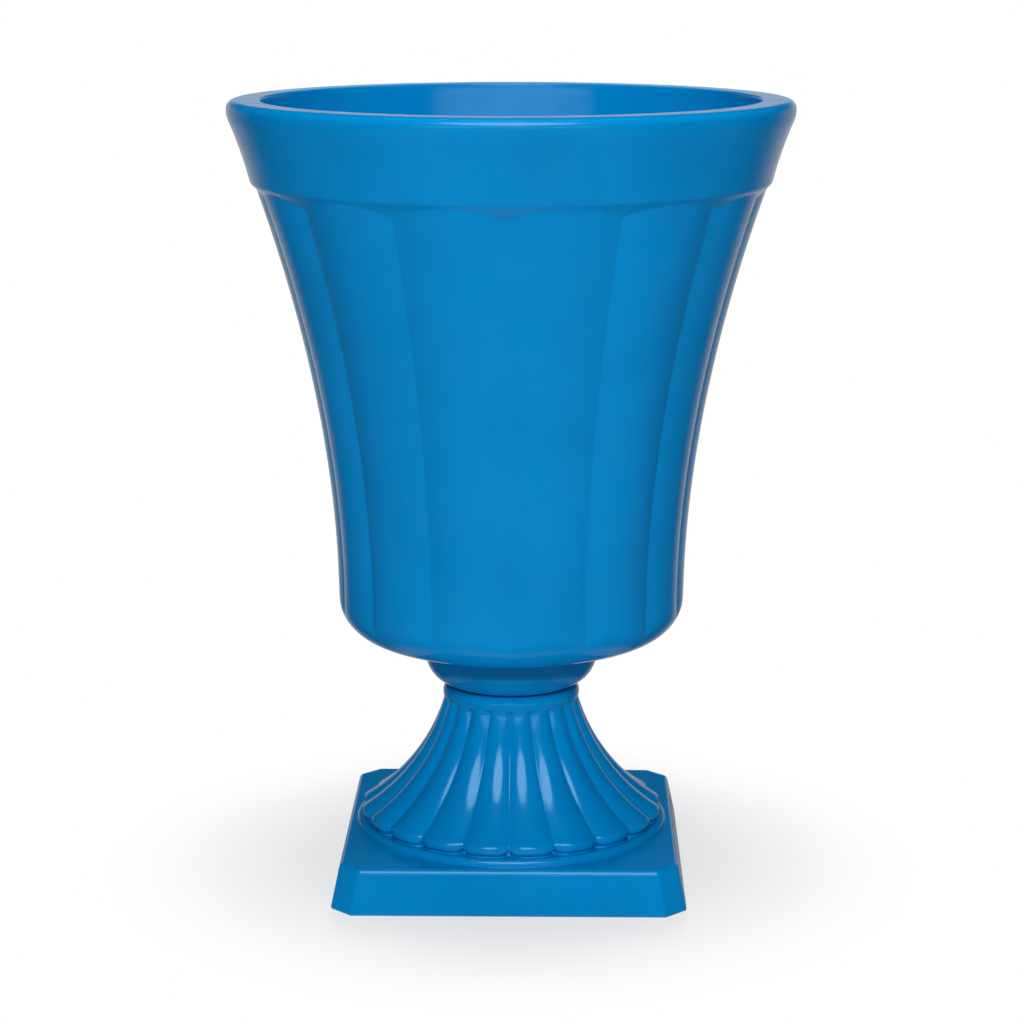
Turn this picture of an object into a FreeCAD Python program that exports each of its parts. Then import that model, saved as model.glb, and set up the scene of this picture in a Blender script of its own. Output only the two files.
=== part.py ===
import FreeCAD, Part
import math
import os
import Sketcher
from FreeCAD import Vector

# Urn planter: a fluted bowl with a plain skirt band, bolted down on a fluted pedestal with a square plinth.
# Millimetres. The origin is the centre of the plinth's underside, +Z up, and the front faces -Y.

SIZES = (
    # the bowl
    ("overall_height", 560.0, "floor to the rim's flat top"),
    ("rim_diameter", 399.0, "outside the upright lip"),
    ("mouth_diameter", 351.4, "between the inner edges of the rim"),
    ("lip_height", 9.0, "upright part of the rim, with its round"),
    ("rim_round", 4.5, "outer edge of the flat top"),
    ("band_height", 57.0, "rim to the skirt band's lower edge"),
    ("band_foot_diameter", 367.5, "skirt band at its lower edge"),
    ("band_hollow", 0.8, "how far the band's flare sinks in from straight"),
    ("band_flare_drop", 7.0, "rounding from the flare into the upright lip"),
    ("ledge_height", 12.0, "cone that ends the band under its lower edge"),
    ("shoulder_diameter", 363.6, "flute crowns at the band's lower edge"),
    ("belly_diameter", 250.6, "flute crowns at the foot of the flare"),
    ("belly_height", 204.0, "level of the foot of the flare"),
    ("flare_power", 1.85, "how late the flare opens, 1 is a plain cone"),
    ("bowl_flutes", 14, "convex flutes round the bowl"),
    ("shoulder_groove", 4.4, "groove depth at the band"),
    ("belly_groove", 3.0, "groove depth at the belly"),
    ("bottom_level", 172.8, "underside of the bowl's round bottom"),
    ("bottom_round", 33.0, "round between the flutes and the underside"),
    ("bowl_wall", 4.0, "moulded wall of the bowl"),
    ("mouth_depth", 22.5, "upright part of the mouth"),
    ("mouth_blend_depth", 114.0, "rim down to where the inside starts to close in on the mouth"),
    # the boss under the bowl
    ("boss_diameter", 125.4, "widest part of the boss"),
    ("boss_round", 23.0, "round on the boss's lower half"),
    ("boss_foot_diameter", 95.0, "boss at its lower edge"),
    ("seat_gap", 1.5, "shadow gap between the boss and the collar"),
    ("spigot_diameter", 80.0, "spigot that centres the bowl"),
    ("spigot_clearance", 0.5, "all round the spigot"),
    ("spigot_depth", 5.5, "collar's top down to the web that the spigot sits on"),
    ("well_diameter", 70.0, "well inside the spigot"),
    # the pedestal
    ("pedestal_height", 136.5, "floor to the collar's top"),
    ("collar_diameter", 99.6, "rounded collar"),
    ("collar_height", 13.0, "rounded collar"),
    ("collar_round", 6.0, "edges of the collar"),
    ("neck_diameter", 99.4, "flute crowns under the collar"),
    ("nose_diameter", 221.0, "flute crowns at the cone's foot"),
    ("nose_level", 44.0, "where the crowns turn down into their noses"),
    ("cone_hollow", 9.3, "how far the cone's flare sinks in from straight"),
    ("cone_flutes", 20, "convex flutes round the cone"),
    ("flute_rise", 5.5, "how far the flutes run up into the collar"),
    ("neck_groove", 2.6, "groove depth under the collar"),
    ("nose_groove", 5.4, "groove depth at the noses"),
    ("nose_round", 7.0, "round of the flutes' lower ends"),
    ("bead_diameter", 228.2, "outside the bead on the plinth"),
    ("bead_thickness", 8.0, "the bead's own section"),
    ("bead_rise", 1.0, "the bead's middle above the plinth"),
    ("bead_proud", 1.0, "the bead's top above the disc that it frames"),
    ("plinth_top_width", 238.0, "across the flats at the top"),
    ("plinth_width", 251.4, "across the flats at the floor"),
    ("plinth_height", 32.0, "floor to the plinth's top"),
    ("plinth_corner", 15.0, "cut taken off each side at a corner"),
    ("plinth_edge_round", 3.5, "round of the top edge and the upright arrises"),
    ("pedestal_wall", 4.0, "moulded wall of the pedestal"),
    ("web_thickness", 6.0, "web across the pedestal's neck"),
    # what joins and drains them
    ("bolt_diameter", 8.0, "M8 shank"),
    ("bolt_length", 30.0, "under the head"),
    ("bolt_head_width", 13.0, "across the flats"),
    ("bolt_head_height", 5.3, "hexagon head"),
    ("bolt_hole_diameter", 8.4, "through the bowl and the pedestal"),
    ("washer_diameter", 30.0, "wide washers"),
    ("washer_bore", 8.4, "wide washers"),
    ("washer_thickness", 1.5, "wide washers"),
    ("seal_thickness", 2.0, "rubber washer"),
    ("nut_bore_clearance", 0.05, "round the shank"),
    ("nut_hub_diameter", 16.0, "wing nut's hub at its seat"),
    ("nut_hub_end_diameter", 12.5, "wing nut's hub at its far end"),
    ("nut_hub_height", 8.0, "wing nut's hub"),
    ("nut_span", 39.0, "over both wings"),
    ("nut_wing_height", 8.0, "how far each wing hangs below the hub"),
    ("nut_wing_round", 5.0, "round end of each wing"),
    ("nut_wing_thickness", 3.0, "each wing"),
    ("drain_holes", 2, "in the well's floor"),
    ("drain_circle", 53.0, "diameter through the holes' centres"),
    ("drain_diameter", 9.0, "hole in the bowl"),
    ("drain_way_diameter", 22.0, "wider hole in the web below"),
    ("plug_clearance", 0.08, "round the plug's stem"),
    ("plug_flange_diameter", 14.0, "plug's flange"),
    ("plug_flange_thickness", 2.0, "plug's flange"),
    ("plug_stem_length", 9.0, "under the flange"),
    ("plug_tip_taper", 1.0, "chamfer at the stem's end"),
    ("plug_knob_diameter", 6.0, "knob to pull it by"),
    ("plug_knob_height", 7.0, "knob to pull it by"),
)

BOWL_RING_COUNT = 8
CONE_RING_COUNT = 8
INSIDE_POINT_COUNT = 5
HEXAGON_SIDE_COUNT = 6
FRONT = -math.pi / 2
FULL_TURN = 360
HALF = 0.5
UP = 1
DOWN = -1
BITE = 0.5          # how far a rounding profile stands outside the flute crowns, so that they cross cleanly
OVERLAP = 4.0       # how far a solid runs on into the one that it joins
MARGIN = 40.0       # how far a cutting or limiting profile runs past what it shapes

doc = FreeCAD.newDocument("urn_planter")
sheet = doc.addObject("Spreadsheet::Sheet", "Sizes")
for row, (alias, value, meaning) in enumerate(SIZES, start=1):
    sheet.set(f"A{row}", meaning)
    sheet.set(f"B{row}", str(value))
    sheet.setAlias(f"B{row}", alias)
doc.recompute()


def size(alias):
    return float(getattr(sheet, alias))


def polar(radius, angle, level):
    return Vector(radius * math.cos(angle), radius * math.sin(angle), level)


# ---- levels and radii that more than one piece needs ----

web_top = size("pedestal_height") - size("spigot_depth")
web_bottom = web_top - size("web_thickness")
well_floor = web_top + size("bowl_wall")
boss_foot = size("pedestal_height") + size("seat_gap")
band_foot = size("overall_height") - size("band_height")


def crown_radius(level):
    """Radius of the bowl's flute crowns: upright at the belly, opening by a power law to the shoulder."""
    share = (level - size("belly_height")) / (band_foot - size("belly_height"))
    spread = (size("shoulder_diameter") - size("belly_diameter")) * HALF
    return size("belly_diameter") * HALF + spread * max(share, 0.0) ** size("flare_power")


def bowl_groove(level):
    share = (level - size("belly_height")) / (band_foot - size("belly_height"))
    return size("belly_groove") + (size("shoulder_groove") - size("belly_groove")) * max(share, 0.0)


def bowl_inside(level):
    """Radius of the smooth inner wall: one wall inside the grooves."""
    return crown_radius(level) - bowl_groove(level) - size("bowl_wall")


def round_middle(centre, radius, upwards):
    """Middle of a quarter round that stands out from its centre and turns up or down."""
    reach = radius * math.sin(math.pi / 4)
    return (centre[0] + reach, centre[1] + reach * upwards)


def sagging_middle(low, high, hollow):
    """Point at the middle of an arc that sinks in, towards the axis, from the line between two points."""
    run = high.sub(low)
    inward = Vector(-abs(run.z), 0, run.x * math.copysign(1.0, run.z)).normalize()
    return low.add(high).multiply(HALF).add(inward.multiply(hollow))


neck_level = size("pedestal_height") - size("collar_height")
cone_top = Vector(size("neck_diameter") * HALF, 0, neck_level)
cone_foot = Vector(size("nose_diameter") * HALF, 0, size("nose_level"))
cone_arc = Part.Circle(cone_top, sagging_middle(cone_top, cone_foot, size("cone_hollow")), cone_foot)


def cone_radius(level):
    """Radius of the cone's flute crowns on the arc of its flare, run on straight past both ends."""
    reach = min(max(level, cone_foot.z), cone_top.z)
    rise = reach - cone_arc.Center.z
    return cone_arc.Center.x - math.sqrt(cone_arc.Radius ** 2 - rise ** 2)


def cone_groove(level):
    share = (cone_radius(level) - cone_top.x) / (cone_foot.x - cone_top.x)
    return size("neck_groove") + (size("nose_groove") - size("neck_groove")) * share


# ---- ways of making a shape ----

def outline(start, *steps):
    """Closed face in the XZ plane. A step is a point, or a middle and an end point for an arc."""
    edges = []
    here = Vector(start[0], 0, start[1])
    for step in steps:
        points = [Vector(x, 0, z) for x, z in step]
        if len(points) == 1:
            edges.append(Part.makeLine(here, points[0]))
        else:
            edges.append(Part.Arc(here, points[0], points[1]).toShape())
        here = points[-1]
    edges.append(Part.makeLine(here, Vector(start[0], 0, start[1])))
    return Part.Face(Part.Wire(edges))


def feature(name, shape):
    """A shape of the document that is worked out from the sheet's sizes."""
    made = doc.addObject("Part::Feature", name)
    made.Shape = shape
    return made


def turned(name, face):
    """A face of the XZ plane turned once round the Z axis."""
    drawn = feature(name + "_outline", face)
    made = doc.addObject("Part::Revolution", name)
    made.Source = drawn
    made.Axis = Vector(0, 0, 1)
    made.Base = Vector(0, 0, 0)
    made.Angle = FULL_TURN
    made.Solid = True
    return made


def fluted_ring(level, crown, groove, count):
    """Closed ring of equal outward arcs with a sharp groove at the front."""
    valley = crown - groove
    step = 2 * math.pi / count
    arcs = []
    for index in range(count):
        start = FRONT + index * step
        first = polar(valley, start, level)
        middle = polar(crown, start + step * HALF, level)
        last = polar(valley, start + step, level)
        arcs.append(Part.Arc(first, middle, last).toShape())
    return Part.Wire(arcs)


def fluted(name, low, high, sections, crown, groove, count):
    """Fluted solid through evenly spaced rings that follow two radius rules."""
    levels = [low + (high - low) * index / (sections - 1) for index in range(sections)]
    rings = [fluted_ring(level, crown(level), groove(level), int(count)) for level in levels]
    return feature(name, Part.makeLoft(rings, True, False))


def cut_square(level, width, corner):
    """Square outline with its four corners cut off, at one level."""
    side = width * HALF
    rest = side - corner
    corners = [(-rest, -side), (rest, -side), (side, -rest), (side, rest)]
    corners += [(-x, -y) for x, y in corners]
    points = [Vector(x, y, level) for x, y in corners]
    return Part.makePolygon(points + points[:1])


def cylinder(name, diameter, height, level, x="0", y="0"):
    """Upright cylinder whose sizes and place are expressions on the sheet."""
    made = doc.addObject("Part::Cylinder", name)
    made.setExpression("Radius", f"({diameter}) / 2")
    made.setExpression("Height", height)
    made.setExpression("Placement.Base.x", x)
    made.setExpression("Placement.Base.y", y)
    made.setExpression("Placement.Base.z", level)
    return made


def joined(name, parts):
    made = doc.addObject("Part::MultiFuse", name)
    made.Shapes = parts
    made.Refine = True
    return made


def shared(name, base, limit):
    made = doc.addObject("Part::Common", name)
    made.Base = base
    made.Tool = limit
    return made


def cut_from(name, base, tools):
    made = doc.addObject("Part::Cut", name)
    made.Base = base
    made.Tool = tools[0] if len(tools) == 1 else joined(name + "_cuts", tools)
    return made


WEB_TOP = "Sizes.pedestal_height - Sizes.spigot_depth"
WEB_BOTTOM = f"{WEB_TOP} - Sizes.web_thickness"
WELL_FLOOR = f"{WEB_TOP} + Sizes.bowl_wall"
HEAD_SEAT = f"{WELL_FLOOR} + Sizes.seal_thickness + Sizes.washer_thickness"
NUT_SEAT = f"{WEB_BOTTOM} - Sizes.washer_thickness"


def drain_place(index):
    """Centre of one drain hole, as expressions: the holes are spread evenly from the +X side."""
    turn = f"{FULL_TURN} * {index} / Sizes.drain_holes"
    return f"Sizes.drain_circle / 2 * cos({turn})", f"Sizes.drain_circle / 2 * sin({turn})"


def drain_cuts(name, diameter):
    """The bolt hole and the drain holes, through the well's floor and the web alike."""
    depth = f"Sizes.bowl_wall + Sizes.web_thickness + 2 * {OVERLAP}"
    level = f"{WEB_BOTTOM} - {OVERLAP}"
    cuts = [cylinder(name + "_bolt_hole", "Sizes.bolt_hole_diameter", depth, level)]
    for index in range(int(size("drain_holes"))):
        x, y = drain_place(index)
        cuts.append(cylinder(f"{name}_drain_{index + 1}", diameter, depth, level, x, y))
    return cuts


# ---- the bowl ----

def bowl_fluted_body():
    """Fluted wall from the round bottom up into the skirt band, still solid."""
    low = size("bottom_level") - OVERLAP
    high = band_foot + OVERLAP
    wall = fluted("bowl_flutes", low, high, BOWL_RING_COUNT, crown_radius, bowl_groove, size("bowl_flutes"))
    radius = size("bottom_round")
    centre = (size("belly_diameter") * HALF + BITE - radius, size("bottom_level") + radius)
    far = centre[0] + radius + MARGIN + size("shoulder_diameter") * HALF
    face = outline(
        (0, size("bottom_level")),
        [(centre[0], size("bottom_level"))],
        [round_middle(centre, radius, DOWN), (centre[0] + radius, centre[1])],
        [(far, centre[1])],
        [(far, high + MARGIN)],
        [(0, high + MARGIN)],
    )
    return shared("bowl_body", wall, turned("bowl_bottom_form", face))


def bowl_band():
    """Rim, upright lip, flared skirt band and the cone that ends it, still solid."""
    top = size("overall_height")
    rim = size("rim_diameter") * HALF
    edge = size("rim_round")
    foot = size("band_foot_diameter") * HALF
    lip_foot = top - size("lip_height")
    drop = size("band_flare_drop")
    lean = (rim - foot) / (lip_foot - band_foot)
    flare_top = Vector(rim - lean * drop, 0, lip_foot - drop)
    flare_foot = Vector(foot, 0, band_foot)
    middle = sagging_middle(flare_foot, flare_top, size("band_hollow"))
    blend = (rim - lean * drop * HALF ** 2, lip_foot - drop * HALF)
    rim_centre = (rim - edge, top - edge)
    face = outline(
        (0, band_foot - size("ledge_height")),
        [(foot - size("ledge_height"), band_foot - size("ledge_height"))],
        [(foot, band_foot)],
        [(middle.x, middle.z), (flare_top.x, flare_top.z)],
        [blend, (rim, lip_foot)],
        [(rim, top - edge)],
        [round_middle(rim_centre, edge, UP), (rim - edge, top)],
        [(0, top)],
    )
    return turned("bowl_band", face)


def boss_round_points(radius, floor):
    """Foot, middle and top of a round that turns down to a level, about the centre of the boss's own."""
    centre_x = size("boss_diameter") * HALF - size("boss_round")
    foot_reach = size("boss_foot_diameter") * HALF - centre_x
    centre_z = boss_foot + math.sqrt(size("boss_round") ** 2 - foot_reach ** 2)
    turn = math.asin((centre_z - floor) / radius)
    foot = (centre_x + radius * math.cos(turn), floor)
    middle = (centre_x + radius * math.cos(turn * HALF), centre_z - radius * math.sin(turn * HALF))
    return foot, middle, (centre_x + radius, centre_z)


def bowl_boss():
    """Rounded boss under the bowl with the spigot that drops into the collar, still solid."""
    foot, middle, widest = boss_round_points(size("boss_round"), boss_foot)
    spigot = size("spigot_diameter") * HALF
    face = outline(
        (0, web_top),
        [(spigot, web_top)],
        [(spigot, boss_foot)],
        [foot],
        [middle, widest],
        [(widest[0], size("bottom_level") + OVERLAP)],
        [(0, size("bottom_level") + OVERLAP)],
    )
    return turned("bowl_boss", face)


def bowl_cavity():
    """Inside of the bowl: straight mouth, smooth flare, round floor and the stepped well in the boss."""
    wall = size("bowl_wall")
    top = size("overall_height")
    mouth = size("mouth_diameter") * HALF
    floor = size("bottom_level") + wall
    radius = size("bottom_round") - wall
    belly = bowl_inside(size("belly_height"))
    centre = (belly - radius, floor + radius)
    foot, middle, widest = boss_round_points(size("boss_round") - wall, boss_foot + wall)
    well = size("well_diameter") * HALF
    low_face = outline(
        (0, well_floor),
        [(well, well_floor)],
        [(well, boss_foot + wall)],
        [foot],
        [middle, widest],
        [(widest[0], floor)],
        [(centre[0], floor)],
        [round_middle(centre, radius, DOWN), (belly, centre[1])],
        [(0, centre[1])],
    )
    # the flare is one smooth curve through points of its rule, ending upright at the mouth
    step = (top - size("mouth_blend_depth") - centre[1]) / (INSIDE_POINT_COUNT - 1)
    levels = [centre[1] + step * index for index in range(INSIDE_POINT_COUNT)]
    points = [Vector(bowl_inside(level), 0, level) for level in levels]
    points.append(Vector(mouth, 0, top - size("mouth_depth")))
    curve = Part.BSplineCurve()
    curve.interpolate(points, InitialTangent=Vector(0, 0, 1), FinalTangent=Vector(0, 0, 1))
    above = top + MARGIN
    edges = [
        Part.makeLine(Vector(0, 0, centre[1]), points[0]),
        curve.toShape(),
        Part.makeLine(points[-1], Vector(mouth, 0, above)),
        Part.makeLine(Vector(mouth, 0, above), Vector(0, 0, above)),
        Part.makeLine(Vector(0, 0, above), Vector(0, 0, centre[1])),
    ]
    high_face = Part.Face(Part.Wire(edges))
    return [turned("bowl_well_form", low_face), turned("bowl_inside_form", high_face)]


def bowl():
    outside = joined("bowl_outside", [bowl_fluted_body(), bowl_band(), bowl_boss()])
    return cut_from("bowl", outside, bowl_cavity() + drain_cuts("bowl", "Sizes.drain_diameter"))


# ---- the pedestal ----

def pedestal_collar():
    """Rounded collar, run down into the cone."""
    top = size("pedestal_height")
    out = size("collar_diameter") * HALF
    edge = size("collar_round")
    face = outline(
        (0, neck_level),
        [(out - edge, neck_level)],
        [round_middle((out - edge, neck_level + edge), edge, DOWN), (out, neck_level + edge)],
        [(out, top - edge)],
        [round_middle((out - edge, top - edge), edge, UP), (out - edge, top)],
        [(0, top)],
    )
    return turned("pedestal_collar", face)


def pedestal_cone():
    """Flared cone of convex flutes whose lower ends are rounded off, still solid."""
    low = size("plinth_height") - OVERLAP
    high = neck_level + size("flute_rise")
    wall = fluted("cone_flutes", low, high, CONE_RING_COUNT, cone_radius, cone_groove, size("cone_flutes"))
    radius = size("nose_round")
    nose = size("nose_diameter") * HALF
    level = size("nose_level")
    centre = (nose + BITE - radius, level)
    face = outline(
        (0, low - MARGIN),
        [(centre[0], low - MARGIN)],
        [(centre[0], level - radius)],
        [round_middle(centre, radius, DOWN), (centre[0] + radius, level)],
        [(nose + MARGIN, level)],
        [(nose + MARGIN, high + MARGIN)],
        [(0, high + MARGIN)],
    )
    return shared("pedestal_cone", wall, turned("cone_nose_form", face))


def pedestal_bead():
    """Thin round bead that the cone stands in, on a disc that carries the flutes' ends."""
    tube = size("bead_thickness") * HALF
    ring = size("bead_diameter") * HALF - tube
    level = size("plinth_height") + size("bead_rise")
    disc = level + tube - size("bead_proud")
    disc_edge = ring - math.sqrt(tube ** 2 - (disc - level) ** 2)
    face = outline(
        (0, size("plinth_height") - OVERLAP),
        [(ring + tube, size("plinth_height") - OVERLAP)],
        [(ring + tube, level)],
        [(ring, level + tube), (disc_edge, disc)],
        [(0, disc)],
    )
    return turned("pedestal_bead", face)


def pedestal_plinth():
    """Square plinth with cut corners, leaning sides and soft edges, still solid."""
    top = size("plinth_height")
    shrink = size("plinth_top_width") / size("plinth_width")
    foot = cut_square(0, size("plinth_width"), size("plinth_corner"))
    head = cut_square(top, size("plinth_top_width"), size("plinth_corner") * shrink)
    block = Part.makeLoft([foot, head], True, True)
    soft = [edge for edge in block.Edges if edge.BoundBox.ZMax > top * HALF]
    return feature("pedestal_plinth", block.makeFillet(size("plinth_edge_round"), soft))


def pedestal_hollow():
    """Inside of the pedestal: neck under the web, flaring to the plinth's open underside."""
    wall = size("pedestal_wall")
    neck = cone_top.x - size("neck_groove") - wall
    flare = cone_foot.x - size("nose_groove") - wall
    plate = size("plinth_height") - wall
    start = Vector(neck, 0, web_bottom)
    end = Vector(flare, 0, size("nose_level"))
    middle = sagging_middle(start, end, size("cone_hollow"))
    face = outline(
        (0, web_bottom),
        [(neck, web_bottom)],
        [(middle.x, middle.z), (end.x, end.z)],
        [(flare, plate - OVERLAP)],
        [(0, plate - OVERLAP)],
    )
    shrink = size("plinth_top_width") / size("plinth_width")
    # a corner's cut gets shorter by this much when the sides and the cut all move in by one wall
    corner = size("plinth_corner") - wall * (2 - math.sqrt(2))
    foot = size("plinth_width") - 2 * wall
    head = foot - (size("plinth_width") - size("plinth_top_width")) * plate / size("plinth_height")
    room = Part.makeLoft([cut_square(0, foot, corner), cut_square(plate, head, corner * shrink)], True, True)
    return [turned("cone_inside_form", face), feature("plinth_inside_form", room)]


def pedestal_recess():
    """Round seat in the collar that takes the bowl's spigot."""
    diameter = "Sizes.spigot_diameter + 2 * Sizes.spigot_clearance"
    return cylinder("pedestal_recess", diameter, f"Sizes.spigot_depth + {OVERLAP}", WEB_TOP)


def pedestal():
    parts = [pedestal_collar(), pedestal_cone(), pedestal_bead(), pedestal_plinth()]
    cuts = pedestal_hollow() + [pedestal_recess()] + drain_cuts("pedestal", "Sizes.drain_way_diameter")
    return cut_from("pedestal", joined("pedestal_outside", parts), cuts)


# ---- what joins them ----

def origin_plane(body, role):
    return next(plane for plane in body.Origin.OriginFeatures if plane.Role == role)


def washer(name, thickness, level):
    """Flat ring padded from a sketch of two circles."""
    body = doc.addObject("PartDesign::Body", name)
    sketch = body.newObject("Sketcher::SketchObject", name + "_sketch")
    sketch.AttachmentSupport = (origin_plane(body, "XY_Plane"), [""])
    sketch.MapMode = "FlatFace"
    for index, alias in enumerate(("washer_diameter", "washer_bore")):
        sketch.addGeometry(Part.Circle(Vector(0, 0, 0), Vector(0, 0, 1), size(alias) * HALF))
        sketch.addConstraint(Sketcher.Constraint("Coincident", index, 3, -1, 1))
        number = sketch.addConstraint(Sketcher.Constraint("Diameter", index, size(alias)))
        sketch.renameConstraint(number, alias)
        sketch.setExpression(f"Constraints.{alias}", f"Sizes.{alias}")
    pad = body.newObject("PartDesign::Pad", name + "_pad")
    pad.Profile = sketch
    pad.setExpression("Length", thickness)
    body.Tip = pad
    body.setExpression("Placement.Base.z", level)
    return body


def centre_bolt():
    """Hexagon bolt: head on its washer in the well, shank down through bowl and pedestal."""
    head = doc.addObject("Part::Prism", "centre_bolt_head")
    head.Polygon = HEXAGON_SIDE_COUNT
    half_side = FULL_TURN / HEXAGON_SIDE_COUNT * HALF
    head.setExpression("Circumradius", f"Sizes.bolt_head_width / 2 / cos({half_side})")
    head.setExpression("Height", "Sizes.bolt_head_height")
    head.setExpression("Placement.Base.z", HEAD_SEAT)
    crown = doc.addObject("Part::Cone", "centre_bolt_crown")
    crown.setExpression("Radius1", "Sizes.bolt_head_width / 2 + 2 * Sizes.bolt_head_height")
    crown.setExpression("Radius2", "Sizes.bolt_head_width / 2")
    crown.setExpression("Height", "Sizes.bolt_head_height")
    crown.setExpression("Placement.Base.z", HEAD_SEAT)
    shank = cylinder(
        "centre_bolt_shank",
        "Sizes.bolt_diameter",
        "Sizes.bolt_length + Sizes.bolt_head_height / 2",
        f"{HEAD_SEAT} - Sizes.bolt_length",
    )
    return joined("centre_bolt", [shared("centre_bolt_hexagon", head, crown), shank])


def wing_outline():
    """Both wings of the nut in the XZ plane: each rises from the hub's foot to a round end."""
    seat = web_bottom - size("washer_thickness")
    half_span = size("nut_span") * HALF
    radius = size("nut_wing_round")
    hub_end = seat - size("nut_hub_height")
    low = hub_end - size("nut_wing_height") + radius
    centre = half_span - radius
    lower_x, lower_z = round_middle((centre, low), radius, DOWN)
    hub_middle = hub_end + size("nut_hub_height") * HALF
    outer = size("nut_hub_end_diameter") * HALF
    inner = outer * HALF
    right = outline(
        (inner, hub_middle),
        [(inner, hub_end)],
        [(centre + centre - lower_x, lower_z)],
        [(lower_x, lower_z), round_middle((centre, low), radius, UP)],
        [(outer, hub_middle)],
    )
    return [right, right.mirror(Vector(0, 0, 0), Vector(1, 0, 0))]


def wing_nut():
    """Wing nut: tapered hub with two round-ended wings that hang below the web."""
    hub = doc.addObject("Part::Cone", "wing_nut_hub")
    hub.setExpression("Radius1", "Sizes.nut_hub_end_diameter / 2")
    hub.setExpression("Radius2", "Sizes.nut_hub_diameter / 2")
    hub.setExpression("Height", "Sizes.nut_hub_height")
    hub.setExpression("Placement.Base.z", f"{NUT_SEAT} - Sizes.nut_hub_height")
    wings = []
    for name, face in zip(("right", "left"), wing_outline()):
        wing = doc.addObject("Part::Extrusion", f"wing_nut_{name}_wing")
        wing.Base = feature(f"wing_nut_{name}_outline", face)
        wing.DirMode = "Custom"
        wing.Dir = Vector(0, 1, 0)
        wing.Symmetric = True
        wing.Solid = True
        wing.setExpression("LengthFwd", "Sizes.nut_wing_thickness")
        wings.append(wing)
    bore = cylinder(
        "wing_nut_bore",
        "Sizes.bolt_diameter + 2 * Sizes.nut_bore_clearance",
        f"Sizes.nut_hub_height + Sizes.nut_wing_height + {OVERLAP}",
        f"{NUT_SEAT} - Sizes.nut_hub_height - Sizes.nut_wing_height",
    )
    return cut_from("wing_nut", joined("wing_nut_blank", [hub] + wings), [bore])


def drain_plug(index):
    """Soft plug: round-cornered flange on the floor, stem down the hole, knob on top."""
    stem = size("drain_diameter") * HALF - size("plug_clearance")
    flange = size("plug_flange_diameter") * HALF
    thick = size("plug_flange_thickness")
    knob = size("plug_knob_diameter") * HALF
    rise = thick + size("plug_knob_height")
    tip = size("plug_tip_taper")
    neck = round_middle((0, 0), knob, UP)[0]
    face = outline(
        (0, -size("plug_stem_length")),
        [(stem - tip, -size("plug_stem_length"))],
        [(stem, tip - size("plug_stem_length"))],
        [(stem, 0)],
        [(flange, 0)],
        [(flange, thick * HALF)],
        [(flange - thick * HALF, thick)],
        [(neck, thick)],
        [(neck, rise - knob - neck)],
        [(knob, rise - knob), (0, rise)],
    )
    made = turned(f"drain_plug_{index + 1}", face)
    x, y = drain_place(index)
    made.setExpression("Placement.Base.x", x)
    made.setExpression("Placement.Base.y", y)
    made.setExpression("Placement.Base.z", WELL_FLOOR)
    return made


# ---- the assembly ----

pieces = [
    bowl(),
    pedestal(),
    centre_bolt(),
    washer("head_washer", "Sizes.washer_thickness", f"{WELL_FLOOR} + Sizes.seal_thickness"),
    washer("sealing_washer", "Sizes.seal_thickness", WELL_FLOOR),
    washer("nut_washer", "Sizes.washer_thickness", NUT_SEAT),
    wing_nut(),
]
pieces += [drain_plug(index) for index in range(int(size("drain_holes")))]
for piece in pieces:
    piece.Label = piece.Name
doc.recompute()

for item in doc.Objects:
    if "Invalid" in item.State or "Error" in item.State:
        raise RuntimeError(f"{item.Name} did not build: {item.State}")
for piece in pieces:
    if piece.Shape.isNull() or not piece.Shape.isValid():
        raise RuntimeError(f"{piece.Label} has no valid shape")
    if len(piece.Shape.Solids) != 1:
        raise RuntimeError(f"{piece.Label} is {len(piece.Shape.Solids)} solids, not one")

os.makedirs("parts", exist_ok=True)
for piece in pieces:
    piece.Shape.exportStep(f"parts/{piece.Label}.step")
    box = piece.Shape.optimalBoundingBox(False)
    print(f"{piece.Label}: volume {piece.Shape.Volume:.0f}, z {box.ZMin:.2f} to {box.ZMax:.2f}, "
          f"width {box.XLength:.2f}, faces {len(piece.Shape.Faces)}")
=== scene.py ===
"""Urn planter of blue moulded polyethylene: a fluted bowl bolted down on a fluted pedestal.

Metres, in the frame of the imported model: +Z up, the front faces -Y, and the origin is the middle of the
plinth's underside.
"""

import math

import bmesh
import bpy
import numpy as np
from bpy.props import FloatProperty, FloatVectorProperty, IntProperty, PointerProperty
from mathutils import Euler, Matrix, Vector


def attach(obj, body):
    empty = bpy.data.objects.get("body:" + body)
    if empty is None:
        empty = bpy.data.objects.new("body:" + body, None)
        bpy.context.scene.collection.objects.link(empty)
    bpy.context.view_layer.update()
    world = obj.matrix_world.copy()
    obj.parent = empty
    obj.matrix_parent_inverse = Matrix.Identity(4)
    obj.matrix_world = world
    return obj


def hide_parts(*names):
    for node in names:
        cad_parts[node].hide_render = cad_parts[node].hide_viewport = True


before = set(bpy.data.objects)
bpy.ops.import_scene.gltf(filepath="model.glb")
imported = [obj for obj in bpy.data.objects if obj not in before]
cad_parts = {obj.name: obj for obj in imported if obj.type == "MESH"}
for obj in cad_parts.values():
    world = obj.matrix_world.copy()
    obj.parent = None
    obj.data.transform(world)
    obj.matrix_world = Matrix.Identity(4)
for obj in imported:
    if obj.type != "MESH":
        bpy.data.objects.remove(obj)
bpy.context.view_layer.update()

bl_info = {
    "name": "Urn Planter",
    "version": (1, 0, 0),
    "blender": (4, 5, 0),
    "location": "3D View > Sidebar > Planter",
    "description": "Fluted urn planter on a pedestal, with its stage and camera",
    "category": "Add Mesh",
}

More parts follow.
